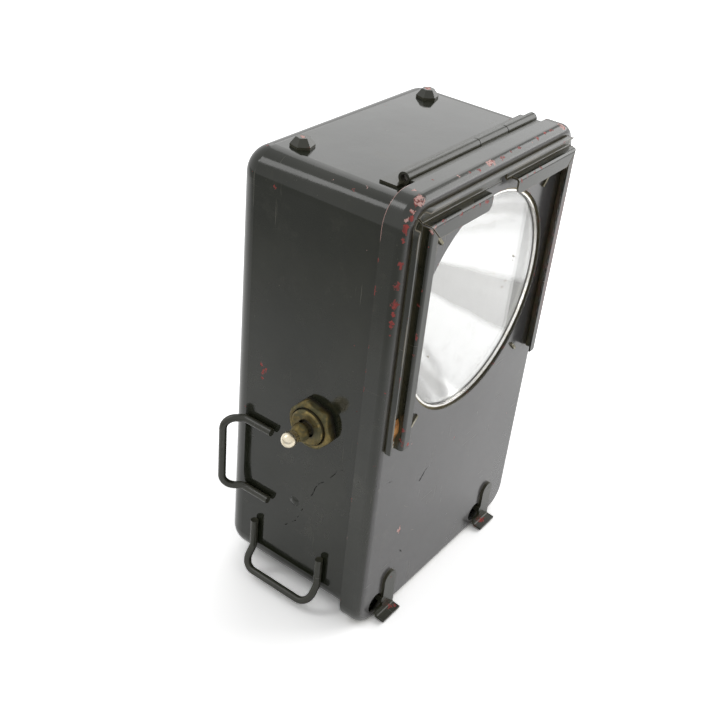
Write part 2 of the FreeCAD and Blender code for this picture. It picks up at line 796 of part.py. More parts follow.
def catch(centre):
    half = catch_thickness / 2
    mid_y = -half
    lip_centre = centre + catch_lip_shift
    tongue = box(centre - catch_tongue_width / 2, centre + catch_tongue_width / 2,
                 -catch_thickness, 0, catch_tongue_end, catch_top_z - catch_tongue_width / 2)
    cap = along_y(catch_tongue_width / 2, centre, catch_top_z - catch_tongue_width / 2,
                  -catch_thickness, 0)
    left = lip_centre - catch_lip_width / 2
    reach = catch_lip_front - half
    lean = half * math.sin(math.atan2(catch_lip_drop, reach))
    lip_points = [V(left, mid_y, catch_lip_root),
                  V(left, mid_y, catch_foot_z),
                  V(left, lean - catch_lip_front, catch_foot_z - catch_lip_drop)]
    lip = bent_strip(lip_points, catch_thickness, catch_bend_radius, V(catch_lip_width, 0, 0))
    blade_right = centre - catch_tongue_width / 2
    blade = box(blade_right - catch_blade_thickness, blade_right + 0.01, -catch_thickness,
                catch_blade_reach, catch_hole_z - catch_blade_height / 2,
                catch_hole_z + catch_blade_height / 2)
    return join([tongue, cap, lip, blade])


parts["catch_left"] = catch(-catch_x)
parts["catch_right"] = catch(catch_x)
keepers = []
for side in (-1, 1):
    blade_right = side * catch_x - catch_tongue_width / 2
    wall = blade_right + seat_gap
    keeper_x = wall + keeper_thickness / 2
    keeper_y = case_rim_setback + keeper_inset
    keeper_z = sheet + keeper_thickness / 2
    points = [V(keeper_x, keeper_y, sheet + keeper_height),
              V(keeper_x, keeper_y, keeper_z),
              V(keeper_x + keeper_foot, keeper_y, keeper_z)]
    keepers.append(bent_strip(points, keeper_thickness, keeper_bend_radius, V(0, keeper_length, 0)))
parts["catch_keepers"] = Part.makeCompound(keepers)

# Battery with its two tongues, held against the back by a riveted strap
block = box(-battery_width / 2, battery_width / 2, battery_front, battery_rear, battery_foot, battery_top)
rounded = [e for e in block.Edges if e.BoundBox.ZMin < battery_top - 0.1]
parts["battery"] = block.makeFillet(battery_edge_radius, rounded)
tongues = []
tongue_y = battery_mid - tongue_width / 2
tongue_z = battery_top + tongue_rise
for x, reach in ((short_tongue_x, short_tongue_reach), (long_tongue_x, long_tongue_reach)):
    points = [V(x, tongue_y, battery_top),
              V(x, tongue_y, tongue_z),
              V(x + reach, tongue_y, tongue_z + tongue_lift)]
    tongues.append(bent_strip(points, tongue_thickness, tongue_bend_radius, V(0, tongue_width, 0)))
parts["battery_tongues"] = Part.makeCompound(tongues)
strap_edge = inner_half_width - sheet / 2
strap_low = battery_strap_z - battery_strap_height / 2
strap_points = [V(-strap_edge, strap_mid - battery_strap_flange, strap_low),
                V(-strap_edge, strap_mid, strap_low),
                V(strap_edge, strap_mid, strap_low),
                V(strap_edge, strap_mid - battery_strap_flange, strap_low)]
strap = bent_strip(strap_points, sheet, strap_bend_radius, V(0, 0, battery_strap_height))
rivets = []
for side in (-1, 1):
    inner_x = side * (inner_half_width - sheet)
    outer_x = side * half_width
    end_x = inner_x - side * rivet_head_height
    ends = sorted([outer_x, inner_x - side * battery_strap_flange])
    strap = strap.cut(along_x(rivet_shank_radius + rivet_hole_clearance, strap_rivet_y,
                              battery_strap_z, ends[0], ends[1]))
    dome = Part.makeSphere(rivet_dome_radius, V(outer_x - side * (rivet_dome_radius - rivet_head_height),
                                                strap_rivet_y, battery_strap_z))
    ends = sorted([outer_x, outer_x + side * rivet_dome_radius])
    keep = box(ends[0], ends[1], strap_rivet_y - rivet_dome_radius, strap_rivet_y + rivet_dome_radius,
               battery_strap_z - rivet_dome_radius, battery_strap_z + rivet_dome_radius)
    ends = sorted([outer_x, end_x])
    shank = along_x(rivet_shank_radius, strap_rivet_y, battery_strap_z, ends[0], ends[1])
    ends = sorted([inner_x, end_x])
    closing = along_x(rivet_head_radius, strap_rivet_y, battery_strap_z, ends[0], ends[1])
    rivets.append(join([dome.common(keep), shank, closing]))
parts["battery_strap"] = strap
parts["strap_rivets"] = Part.makeCompound(rivets)

# Insulating board over the battery, on two angle brackets soldered to the back wall
board_top = board_z + board_thickness
board_rear_y = rear_inner - seat_gap
parts["insulating_board"] = box(board_left, board_right, board_rear_y - board_depth, board_rear_y,
                                board_z, board_top)
brackets = []
for x in (board_left + bracket_inset, board_right - bracket_inset - bracket_width):
    points = [V(x, rear_inner - sheet / 2, board_z - bracket_leg),
              V(x, rear_inner - sheet / 2, board_z - sheet / 2),
              V(x, rear_inner - bracket_shelf, board_z - sheet / 2)]
    brackets.append(bent_strip(points, sheet, bracket_bend_radius, V(bracket_width, 0, 0)))
parts["board_brackets"] = Part.makeCompound(brackets)


def battery_contact(x):
    """A leaf under the board that presses down on the middle of a tongue."""
    y0 = battery_mid - contact_width / 2
    foot_z = board_z - contact_thickness / 2
    points = [V(x, y0, foot_z),
              V(x + contact_foot, y0, foot_z),
              V(x + contact_foot + contact_shoulder_run, y0, board_z - contact_shoulder_drop),
              V(x + contact_foot - contact_return, y0, tongue_z + tongue_lift + contact_end_gap)]
    return bent_strip(points, contact_thickness, contact_bend_radius, V(0, contact_width, 0))


short_contact_x = short_tongue_x + short_tongue_reach / 2 - contact_foot + contact_return
long_contact_x = long_tongue_x + long_tongue_reach / 2 - contact_foot + contact_return
parts["battery_contact_short"] = battery_contact(short_contact_x)
parts["battery_contact_long"] = battery_contact(long_contact_x)

# Lamp contact rising from the board to the foot of the bulb
strip_y = contact_y + lamp_contact_gap + contact_thickness / 2
strip_foot_z = board_top + contact_thickness / 2
strip_left = -lamp_contact_width / 2
lamp_points = [V(strip_left, strip_y - lamp_contact_foot, strip_foot_z),
               V(strip_left, strip_y - lamp_contact_lean, strip_foot_z),
               V(strip_left, strip_y, lens_centre_z - lamp_contact_straight),
               V(strip_left, strip_y, lens_centre_z + lamp_contact_rise)]
parts["lamp_contact"] = bent_strip(lamp_points, contact_thickness, lamp_contact_bend_radius,
                                   V(lamp_contact_width, 0, 0))
foot_top = board_top + contact_thickness
board_rivets = []
for inset in (lamp_rivet_front, lamp_rivet_rear):
    board_rivets.append(along_z(board_rivet_radius, 0, strip_y - inset, foot_top,
                                foot_top + board_rivet_height))
for x in (short_contact_x, long_contact_x):
    board_rivets.append(along_z(board_rivet_radius, x + board_rivet_offset, battery_mid, board_top,
                                board_top + board_rivet_height))
parts["board_rivets"] = Part.makeCompound(board_rivets)


# Two insulated leads from the switch to the rivets on the board


def lead(lug_z, landing, landing_z):
    start_z = lug_z + terminal_thickness / 2 + lead_gap + lead_radius
    end_z = landing_z + lead_gap + lead_radius
    start = V(body_far + terminal_length - terminal_eye_inset, switch_y, start_z)
    clear_z = max(start_z, battery_top + lead_battery_gap)
    points = [start,
              start + V(lead_straight, 0, 0),
              V(landing.x, battery_front - lead_battery_gap, clear_z),
              V(landing.x, board_rear_y - board_depth - lead_board_gap, end_z - lead_dip),
              V(landing.x, landing.y, end_z)]
    return wire_loop(points, [lead_bend_radius, lead_bend_radius, lead_end_radius], lead_radius)


parts["lead_battery"] = lead(switch_z - terminal_spacing / 2,
                             V(short_contact_x + board_rivet_offset, battery_mid, 0),
                             board_top + board_rivet_height)
parts["lead_lamp"] = lead(switch_z + terminal_spacing / 2, V(0, strip_y - lamp_rivet_front, 0),
                          foot_top + board_rivet_height)

# Place everything with the origin at the middle of the bounding box's bottom
os.makedirs("parts", exist_ok=True)
shift = V(-origin_x, -origin_y, cover_end_overhang)
for name, shape in parts.items():
    placed = shape.copy()
    placed.translate(shift)
    placed.exportStep("parts/" + name + ".step")
    print(name, len(placed.Solids), "solids", placed.isValid(), [round(v, 2) for v in (
        placed.BoundBox.XMin, placed.BoundBox.XMax, placed.BoundBox.YMin, placed.BoundBox.YMax,
        placed.BoundBox.ZMin, placed.BoundBox.ZMax)])
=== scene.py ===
import math
from collections import namedtuple

import bpy
from mathutils import Matrix, Vector


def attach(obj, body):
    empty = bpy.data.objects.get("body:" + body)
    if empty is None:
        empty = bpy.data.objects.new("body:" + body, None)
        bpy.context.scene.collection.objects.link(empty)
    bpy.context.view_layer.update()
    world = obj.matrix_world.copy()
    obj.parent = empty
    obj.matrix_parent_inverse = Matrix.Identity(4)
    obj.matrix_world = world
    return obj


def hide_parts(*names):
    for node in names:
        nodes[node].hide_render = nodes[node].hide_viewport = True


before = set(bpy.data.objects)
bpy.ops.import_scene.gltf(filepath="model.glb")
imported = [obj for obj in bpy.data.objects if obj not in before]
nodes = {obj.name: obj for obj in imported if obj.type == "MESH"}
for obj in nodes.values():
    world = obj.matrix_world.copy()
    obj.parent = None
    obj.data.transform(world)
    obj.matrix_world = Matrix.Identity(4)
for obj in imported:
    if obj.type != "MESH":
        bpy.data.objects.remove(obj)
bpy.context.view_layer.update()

scene = bpy.context.scene

MM_PER_METRE = 1000.0

# The CAD's working frame is moved by this much, in millimetres
SHIFT = Vector((6.6, -27.3, 2.8))
LENS_Z = 102.4

# Each mark of wear is drawn at this share of its listed size
MARK_SCALE = 0.72

EVEN = (1, 1, 1)
WHITE = (1, 1, 1)
CORNER_SAMPLES = 6
MEASURES = ("LENGTH", "DOT_PRODUCT", "DISTANCE")

# Distances, as shares of a mark's size, at which a blot or a hairline starts and is full
BLOT_RIM = (1.12, 0.88)
LINE_RIM = (1.3, 0.7)

# A noise: features per metre, octaves, their strength, and the levels between which a patch fades in
Pattern = namedtuple("Pattern", "scale detail rough low high")


def at(x, y, z):
    """A place in the CAD's working frame, in metres of the part's own frame."""
    return (Vector((x, y, z)) + SHIFT) / MM_PER_METRE


class Net:
    """Short calls for building one node tree."""

    def __init__(self, owner, output="ShaderNodeOutputMaterial"):
        owner.use_nodes = True
        self.owner = owner
        self.tree = owner.node_tree
        self.tree.nodes.clear()
        self.out = self.tree.nodes.new(output)
        self.coord = None

    def link(self, value, socket):
        if isinstance(value, bpy.types.NodeSocket):
            self.tree.links.new(value, socket)
        elif isinstance(value, (tuple, list, Vector)) and socket.type == "RGBA":
            socket.default_value = tuple(value)[:3] + (1.0,)
        else:
            socket.default_value = value

    def add(self, kind, inputs=None, **settings):
        node = self.tree.nodes.new(kind)
        for key, value in settings.items():
            setattr(node, key, value)
        for key, value in (inputs or {}).items():
            self.link(value, node.inputs[key])
        return node

    def place(self):
        if self.coord is None:
            self.coord = self.add("ShaderNodeTexCoord").outputs["Object"]
        return self.coord

    def split(self):
        return self.add("ShaderNodeSeparateXYZ", {0: self.place()}).outputs

    def math(self, operation, a, b=0.0, clamp=False):
        return self.add("ShaderNodeMath", {0: a, 1: b}, operation=operation, use_clamp=clamp).outputs[0]

    def plus(self, a, b, clamp=False):
        return self.math("ADD", a, b, clamp)

    def minus(self, a, b, clamp=False):
        return self.math("SUBTRACT", a, b, clamp)

    def times(self, *values):
        result = values[0]
        for value in values[1:]:
            result = self.math("MULTIPLY", result, value)
        return result

    def most(self, *values):
        result = values[0]
        for value in values[1:]:
            result = self.math("MAXIMUM", result, value)
        return result

    def vector(self, operation, a, b=None):
        """One step of vector arithmetic. A scaling takes its number as b."""
        inputs = {0: a}
        if b is not None:
            inputs["Scale" if operation == "SCALE" else 1] = b
        node = self.add("ShaderNodeVectorMath", inputs, operation=operation)
        return node.outputs[1 if operation in MEASURES else 0]

    def mix(self, factor, a, b):
        node = self.add("ShaderNodeMix", data_type="RGBA")
        self.link(factor, node.inputs[0])
        self.link(a, node.inputs[6])
        self.link(b, node.inputs[7])
        return node.outputs[2]

    def ramp(self, value, low, high, to_low=0.0, to_high=1.0):
        node = self.add("ShaderNodeMapRange", {0: value, 1: low, 2: high, 3: to_low, 4: to_high})
        node.interpolation_type = "SMOOTHSTEP"
        return node.outputs[0]

    def stretched(self, scale, offset=(0, 0, 0), turn=(0, 0, 0)):
        inputs = {"Vector": self.place(), "Scale": scale, "Location": offset, "Rotation": turn}
        return self.add("ShaderNodeMapping", inputs).outputs[0]

    def noise(self, scale, detail=4.0, rough=0.55, vector=None, distortion=0.0):
        inputs = {"Vector": vector or self.place(), "Scale": scale, "Detail": detail, "Roughness": rough,
                  "Distortion": distortion}
        return self.add("ShaderNodeTexNoise", inputs).outputs[0]

    def patches(self, pattern, vector=None, to_low=0.0, to_high=1.0):
        """Noise that goes from one value to the other between the pattern's two levels."""
        noise = self.noise(pattern.scale, pattern.detail, pattern.rough, vector)
        return self.ramp(noise, pattern.low, pattern.high, to_low, to_high)

    def jagged(self, sizes, shifted):
        """The place on the part, shaken by fine noise so that what is drawn with it is ragged."""
        moved = self.place()
        for scale, reach in sizes:
            noise = self.add("ShaderNodeTexNoise", {"Vector": shifted, "Scale": scale, "Detail": 3.0})
            shake = self.vector("SUBTRACT", noise.outputs[1], (0.5, 0.5, 0.5))
            moved = self.vector("ADD", moved, self.vector("SCALE", shake, reach))
        return moved

    def nearest(self, marks, vector):
        """Distance to the nearest mark, as a share of that mark's size."""
        nearest = None
        for mark in marks:
            away = self.vector("SUBTRACT", vector, tuple(at(*mark[0])))
            if len(mark) > 2:
                away = self.vector("MULTIPLY", away, mark[2])
            share = self.times(self.vector("LENGTH", away), MM_PER_METRE / (MARK_SCALE * mark[1]))
            nearest = share if nearest is None else self.math("MINIMUM", nearest, share)
        return nearest

    def blots(self, marks, vector):
        """1 inside the marks, 0 outside them."""
        return self.ramp(self.nearest(marks, vector), *BLOT_RIM) if marks else 0.0

    def hairlines(self, lines, vector):
        """1 on thin lines through the given places, each line with its width in mm."""
        nearest = None
        for width, *corners in lines:
            for a, b in zip(corners, corners[1:]):
                run = at(*b) - at(*a)
                away = self.vector("SUBTRACT", vector, tuple(at(*a)))
                along = self.vector("DOT_PRODUCT", away, tuple(run / run.length_squared))
                along = self.math("MULTIPLY", along, 1.0, True)
                foot = self.vector("SCALE", tuple(run), along)
                share = self.times(self.vector("DISTANCE", away, foot), 2 * MM_PER_METRE / width)
                nearest = share if nearest is None else self.math("MINIMUM", nearest, share)
        return self.ramp(nearest, *LINE_RIM)

    def hollow(self, reach, low, high):
        """Rises in grooves and inner corners narrower than the given reach."""
        node = self.add("ShaderNodeAmbientOcclusion", {"Distance": reach}, samples=CORNER_SAMPLES)
        return self.ramp(node.outputs["AO"], high, low)

    def edge(self, radius, low, high):
        """Rises on convex edges sharper than the given radius."""
        bevel = self.add("ShaderNodeBevel", {"Radius": radius}, samples=CORNER_SAMPLES).outputs[0]
        normal = self.add("ShaderNodeNewGeometry").outputs["Normal"]
        return self.ramp(self.vector("DOT_PRODUCT", bevel, normal), high, low)

    def bump(self, height, strength, distance):
        inputs = {"Height": height, "Strength": strength, "Distance": distance}
        return self.add("ShaderNodeBump", inputs).outputs[0]

    def surface(self, **inputs):
        shader = self.add("ShaderNodeBsdfPrincipled")
        for key, value in inputs.items():
            self.link(value, shader.inputs[key.replace("_", " ")])
        self.link(shader.outputs[0], self.out.inputs["Surface"])
        return self.owner


PAINT = (0.0150, 0.0175, 0.0105)
PAINT_WORN = (0.026, 0.028, 0.018)
PAINT_FRONT_LIGHTER = (0.092, 0.090, 0.090)
# Lighter, greyer paint that the cover's front face takes in patches
PAINT_LIT = (0.032, 0.034, 0.023)
# Painted light: a lighter copy of the enamel for the trim and studs, standing in for the brighter light these
# small rounded parts catch
PAINT_LIT_WORN = (0.050, 0.050, 0.036)
PRIMER = (0.36, 0.040, 0.032)
PRIMER_DEEP = (0.15, 0.022, 0.016)
PINK = (0.66, 0.40, 0.36)
DUST = (0.20, 0.19, 0.150)
OLIVE = (0.115, 0.100, 0.052)
# Near black, laid in the corners of metal
NEAR_BLACK = (0.012, 0.010, 0.006)
RUBBED_OLIVE = (0.26, 0.22, 0.15)
DARK_LINE = (0.006, 0.005, 0.004)

# How far a fine noise shakes the outlines of chips and of hairlines: noise scale and reach in metres
CHIP_SHAKE = ((650, 0.0026), (2400, 0.0011))
LINE_SHAKE = ((140, 0.0022), (800, 0.0004))

# Patterns of the enamel
CLOUDS = Pattern(28, 5, 0.6, 0.35, 0.7)
FRONT_PATCHES = Pattern(40, 6, 0.62, 0.25, 0.75)
STAINING = Pattern(160, 5, 0.7, 0.36, 0.52)
SPECKS = Pattern(1500, 1, 0.5, 0.775, 0.80)
SPECK_FIELDS = Pattern(60, 2, 0.5, 0.48, 0.60)
SCRATCH_TRACKS = Pattern(1.0, 1, 0.5, 0.735, 0.76)
SCRATCH_FIELDS = Pattern(45, 2, 0.5, 0.50, 0.60)
SETTLING = Pattern(260, 7, 0.75, 0.30, 0.60)
STRAY_CHIPS = Pattern(300, 3, 0.6, 0.765, 0.775)
CRUMBLING = Pattern(1300, 2, 0.5, 0.40, 0.50)
FLAKING = Pattern(1000, 3, 0.6, 0.37, 0.44)
PRIMER_TONES = Pattern(800, 3, 0.6, 0.35, 0.70)
TEARING = Pattern(900, 3, 0.6, 0.46, 0.52)
GLOSS_CHANGES = Pattern(60, 6, 0.7, 0.2, 0.9)
SHEEN_CHANGES = Pattern(33, 3, 0.55, 0.2, 0.8)

# How strongly each layer covers the paint
DUST_FILM = 0.10
SPECK_COVER = 0.5
STAIN_COVER = 0.45
SCRATCH_COVER = 0.30
LIGHT_LINE_COVER = 0.55
DARK_LINE_COVER = 0.85

# Width in mm over which the lighter front blends in, how much wear lowers the level at which edges chip,
# how far the gloss varies, and the strength and height in metres of the paint's relief
FRONT_BLEND_WIDTH = 0.6
WEAR_EASE = 0.12
GLOSS_SPREAD = 0.10
RELIEF = (0.22, 0.0004)

# Hair scratches of three slants: turn in radians, and how much each axis packs the noise
SLANTS = (((0.3, 0.2, 0.5), (60, 1400, 60)),
          ((0.9, -0.4, 0.2), (1300, 50, 70)),
          ((-0.5, 0.7, -0.3), (70, 60, 1500)))


def new_net(name):
    return Net(bpy.data.materials.new(name))


def lighten_front(net, colour, front_y, shifted):
    """The paint in front of the given place in y (mm) turns lighter and greyer in patches."""
    front = net.ramp(net.split()[1], at(0, front_y + FRONT_BLEND_WIDTH, 0).y, at(0, front_y, 0).y)
    return net.mix(net.times(front, net.patches(FRONT_PATCHES, shifted, 0.84, 1.0)), colour, PAINT_FRONT_LIGHTER)


def add_dust(net, colour, fine, shifted):
    """A faint film of dust, and pale specks that come in fields."""
    film = net.ramp(net.plus(net.noise(90, 8, 0.7, shifted), net.times(fine, 0.25)), 0.66, 0.86)
    colour = net.mix(net.times(film, DUST_FILM), colour, DUST)
    specks = net.times(net.patches(SPECKS, shifted), net.patches(SPECK_FIELDS, shifted))
    return net.mix(net.times(specks, SPECK_COVER), colour, DUST)


def hair_scratches(net, seed):
    found = []
    for i, (turn, stretch) in enumerate(SLANTS):
        track = net.patches(SCRATCH_TRACKS, net.stretched(stretch, (seed + i, 2.1 * i, seed), turn))
        field = net.patches(SCRATCH_FIELDS, net.stretched(EVEN, (i * 3.0, seed, i)))
        found.append(net.times(track, field))
    return net.most(*found)


def chips(net, red, pale, wear, edge_size, seed, jagged, shifted):
    """Chips at the places given, on sharp edges and astray, broken up into flakes."""
    eased = WEAR_EASE * wear
    on_edges = Pattern(210, 5, 0.66, 0.665 - eased, 0.69 - eased)
    chipped = net.most(net.blots(red, jagged),
                       net.times(net.edge(edge_size, 0.93, 0.99), net.patches(on_edges, shifted)),
                       net.times(net.patches(STRAY_CHIPS, shifted), min(1.0, wear * 2)))
    chipped = net.times(chipped, net.patches(FLAKING, net.stretched((1, 1, 0.7), (seed, 0, 0))))
    if pale:
        chipped = net.most(chipped, net.times(net.blots(pale, jagged), net.patches(TEARING, shifted)))
    return chipped


def rubbed_edges(net, rubbed, amount, shifted):
    """Edges worn thin near the places given."""
    reach = net.plus(net.nearest(rubbed, net.place()), net.times(net.noise(300, 4, 0.7, shifted), 0.9))
    return net.times(net.edge(0.0004, 0.93, 0.985), net.ramp(reach, 1.5, 1.2), amount)


def enamel(name, seed, red=(), pale=(), rubbed=(), lines=(), light_lines=(), stained=(), *, wear, gloss,
           edge_size=0.0007, dirt=0.0, dirt_reach=0.003, lighter_front_y=None, ior=1.5, coat=PAINT,
           coat_worn=PAINT_WORN, rub_tone=PINK, rub_amount=1.0):
    """Dark gloss enamel over red primer, chipped at the places given and here and there on its edges."""
    net = new_net(name)
    shifted = net.stretched(EVEN, (seed, seed * 0.7, seed * 1.3))
    jagged = net.jagged(CHIP_SHAKE, shifted)
    wavy = net.jagged(LINE_SHAKE, shifted)
    fine = net.noise(420, 5, 0.65, shifted)
    colour = net.mix(net.patches(CLOUDS, shifted), coat, coat_worn)
    # The front is lighter and greyer in patches
    if lighter_front_y is not None:
        colour = lighten_front(net, colour, lighter_front_y, shifted)
    if stained:
        stain = net.times(net.blots(stained, jagged), net.patches(STAINING, shifted), STAIN_COVER)
        colour = net.mix(stain, colour, PRIMER_DEEP)
    colour = add_dust(net, colour, fine, shifted)
    scratches = hair_scratches(net, seed)
    colour = net.mix(net.times(scratches, SCRATCH_COVER), colour, DUST)

    # Dirt in grooves and inner corners
    hollow_amount = 0.0
    if dirt:
        clinging = net.patches(SETTLING, shifted, 0.35, 1.0)
        hollow_amount = net.times(net.hollow(dirt_reach, 0.45, 0.90), clinging, dirt)
        colour = net.mix(hollow_amount, colour, OLIVE)

    # Primer that shows, pale places in it, and rubbed edges
    chipped = chips(net, red, pale, wear, edge_size, seed, jagged, shifted)
    colour = net.mix(chipped, colour, net.mix(net.patches(PRIMER_TONES, shifted), PRIMER, PRIMER_DEEP))
    worn_pale = net.times(net.blots(pale, jagged), net.patches(CRUMBLING, shifted))
    colour = net.mix(worn_pale, colour, PINK)
    if rubbed:
        colour = net.mix(rubbed_edges(net, rubbed, rub_amount, shifted), colour, rub_tone)
    chipped = net.most(chipped, worn_pale)

    # Hairlines
    if light_lines:
        colour = net.mix(net.times(net.hairlines(light_lines, wavy), LIGHT_LINE_COVER), colour, DUST)
    if lines:
        dark = net.hairlines(lines, wavy)
        colour = net.mix(net.times(dark, DARK_LINE_COVER), colour, DARK_LINE)

    rough = net.patches(GLOSS_CHANGES, shifted, gloss, gloss + GLOSS_SPREAD)
    rough = net.plus(rough, net.times(chipped, 0.40))
    rough = net.plus(rough, net.times(scratches, 0.2))
    rough = net.plus(rough, net.times(hollow_amount, 0.5), True)
    height = net.plus(net.times(net.noise(70, 3, 0.5, shifted), 0.6),
                      net.times(net.noise(1600, 3, 0.6, shifted), 0.05))
    height = net.plus(height, net.times(fine, 0.08))
    height = net.minus(height, net.times(chipped, 0.5))
    sheen = net.patches(SHEEN_CHANGES, shifted, 0.44, 0.52)
    if lines:
        height = net.minus(height, net.times(dark, 0.5))
        sheen = net.times(sheen, net.minus(1.0, dark))
    return net.surface(Base_Color=colour, Roughness=rough, Normal=net.bump(height, *RELIEF), IOR=ior,
                       Specular_IOR_Level=sheen)


def metal(name, light, dark, rough, scale, tarnish, seed, amount, bump=0.15, dark_reach=0.0):
    """Mottled metal under a patchy film of tarnish, darkened nearly to black in its corners where a reach is
    given.
    """
    net = new_net(name)
    shifted = net.stretched(EVEN, (seed, seed, seed))
    mottled = net.ramp(net.noise(scale, 6, 0.7, shifted), 0.3, 0.72)
    film = net.times(net.ramp(net.noise(scale * 0.55, 7, 0.75, shifted, 0.6), 0.44, 0.60), amount)
    colour = net.mix(film, net.mix(mottled, light, dark), tarnish)
    metallic = net.minus(1.0, net.times(film, 0.85))
    if dark_reach:
        # Darkened nearly to black in hollows narrower than the reach
        hollow_amount = net.times(net.hollow(dark_reach, 0.35, 0.85), 0.9)
        colour = net.mix(hollow_amount, colour, NEAR_BLACK)
        metallic = net.minus(metallic, hollow_amount, True)
    rough = net.plus(net.ramp(mottled, 0, 1, rough, rough + 0.15), net.times(film, 0.3))
    normal = net.bump(net.noise(scale * 4, 4, 0.65, shifted), bump, 0.0002)
    return net.surface(Base_Color=colour, Metallic=metallic, Roughness=rough, Normal=normal)


def dull(name, light, dark, rough, scale, bump=0.2):
    net = new_net(name)
    colour = net.mix(net.patches(Pattern(scale, 6, 0.65, 0.3, 0.7)), light, dark)
    rough = net.patches(Pattern(scale * 0.7, 4, 0.6, 0.2, 0.8), None, rough - 0.1, rough + 0.1)
    normal = net.bump(net.noise(scale * 3, 4, 0.6), bump, 0.0003)
    return net.surface(Base_Color=colour, Roughness=rough, Normal=normal)


def give(material, *names):
    for name in names:
        data = nodes[name].data
        data.materials.clear()
        data.materials.append(material)


# Marks of wear: place in the CAD's working frame (mm), size (mm) and a factor on the distance along each
# axis, so that 0.5 draws the mark twice as long that way
UPRIGHT = (1, 1, 0.5)
ACROSS = (0.5, 1, 1)
case_red = [((-43.4, 46.0, 79.0), 0.9), ((-43.4, 45.4, 76.6), 0.9, UPRIGHT), ((-43.4, 45.8, 74.2), 0.7),
            ((-43.4, 44.6, 77.9), 0.6), ((-43.4, 44.4, 137.2), 0.5, UPRIGHT), ((-43.0, 52.7, 138.9), 0.4),
            ((-36.8, 53.1, 144.7), 0.55), ((-40.1, 20.6, 143.5), 0.6), ((-43.4, 9.9, 79.9), 0.35, UPRIGHT),
            ((-43.4, 52.0, 60.5), 0.4), ((14.0, 50.0, 145.0), 0.35), ((-43.4, 13.0, 100.5), 0.3)]
case_pale = [((-39.7, 27.9, 143.7), 0.42), ((-38.0, 18.1, 144.5), 0.35), ((-43.4, 12.4, 130.4), 0.25)]
case_cracks = [(0.28, (-43.4, 12.6, 56.6), (-43.4, 14.5, 55.8), (-43.4, 17.2, 51.2), (-43.4, 21.4, 45.7),
                (-43.4, 24.1, 40.4), (-43.4, 26.4, 33.7), (-43.4, 29.2, 27.0), (-43.4, 33.4, 22.0))]
cover_red = [((-44.1, 0.9, 140.7), 1.1, UPRIGHT), ((-44.5, 1.1, 138.0), 0.6),
             ((-44.3, 0.9, 130.6), 0.7, UPRIGHT), ((-44.6, 1.2, 124.8), 0.9, UPRIGHT),
             ((-44.5, 1.1, 119.1), 1.2, UPRIGHT), ((-44.6, 1.3, 116.0), 1.0),
             ((-44.7, 1.4, 113.2), 0.8, UPRIGHT), ((-44.7, 1.3, 109.6), 0.5), ((-44.3, 0.9, 90.9), 0.4),
             ((-45.2, 7.3, 121.3), 0.3), ((-44.3, 0.9, 65.6), 0.4), ((-42.4, 0.7, 143.2), 0.9),
             ((-40.3, 1.3, 146.4), 0.8), ((-11.0, 1.1, 147.1), 0.6, ACROSS),
             ((-15.2, 1.3, 147.3), 0.6, ACROSS), ((1.4, 1.2, 147.2), 0.8, ACROSS),
             ((6.4, 1.5, 147.4), 0.7), ((10.9, 1.5, 147.4), 0.7, ACROSS), ((21.6, 1.7, 147.5), 0.8),
             ((26.8, 2.0, 147.6), 0.7), ((30.2, 1.7, 147.5), 0.7, ACROSS), ((-27.3, 4.9, 147.8), 0.7),
             ((-14.9, 0.0, 12.4), 0.35), ((-45.2, 8.4, 72.9), 0.8, UPRIGHT), ((-45.2, 8.4, 68.6), 0.6),
             ((-45.2, 8.4, 56.6), 0.9, UPRIGHT), ((-45.2, 8.4, 52.6), 0.8, UPRIGHT),
             ((-45.2, 8.4, 37.4), 0.8, (1, 1, 0.22)), ((-45.2, 8.4, 30.4), 0.8), ((-44.6, 8.4, 4.1), 0.8),
             ((-45.2, 8.4, 96.0), 0.4, UPRIGHT), ((-45.2, 8.4, 110.0), 0.4, UPRIGHT),
             ((41.5, 1.4, 20.0), 0.8, UPRIGHT)]
cover_pale = [((-38.6, 1.3, 146.9), 2.1), ((-41.8, 1.0, 144.8), 1.0), ((-43.4, 1.3, 143.0), 0.8),
              ((-4.6, 1.4, 147.3), 1.3, ACROSS), ((-20.0, 2.2, 147.7), 0.6), ((17.8, 1.2, 147.2), 0.7),
              ((36.6, 1.4, 147.2), 1.7), ((-45.2, 8.4, 34.4), 0.9, (1, 1, 0.3)), ((-45.2, 8.4, 79.8), 0.6),
              ((-36.2, 4.6, 147.8), 0.9),
              ((-27.4, 0.0, 30.2), 1.3, (1, 1, 0.7)), ((-27.2, 0.0, 64.4), 0.35)]
cover_lines = [(0.26, (-43.4, 0.2, 57.9), (-40.0, 0.0, 56.0), (-34.2, 0.0, 55.1)),
               (0.6, (-13.6, 0.0, 49.6), (-16.6, 0.0, 48.4), (-19.4, 0.0, 45.6)),
               (0.35, (-12.2, 0.0, 48.6), (-13.6, 0.0, 49.8)),
               (0.3, (-25.0, 0.0, 20.0), (-24.0, 0.0, 18.6))]
cover_light_lines = [(0.24, (-27.8, 0.0, 70.0), (-29.4, 0.0, 65.4), (-30.4, 0.0, 62.0)),
                     (0.34, (-20.4, 0.0, 26.0), (-17.4, 0.0, 24.0)),
                     (0.16, (-14.0, 0.0, 60.0), (-8.0, 0.0, 58.6)),
                     (0.14, (8.0, 0.0, 44.0), (13.0, 0.0, 36.0)),
                     (0.14, (-34.0, 0.0, 47.0), (-24.0, 0.0, 38.0))]
cover_rubbed = [((-42.0, 9.2, 143.5), 13.0)]
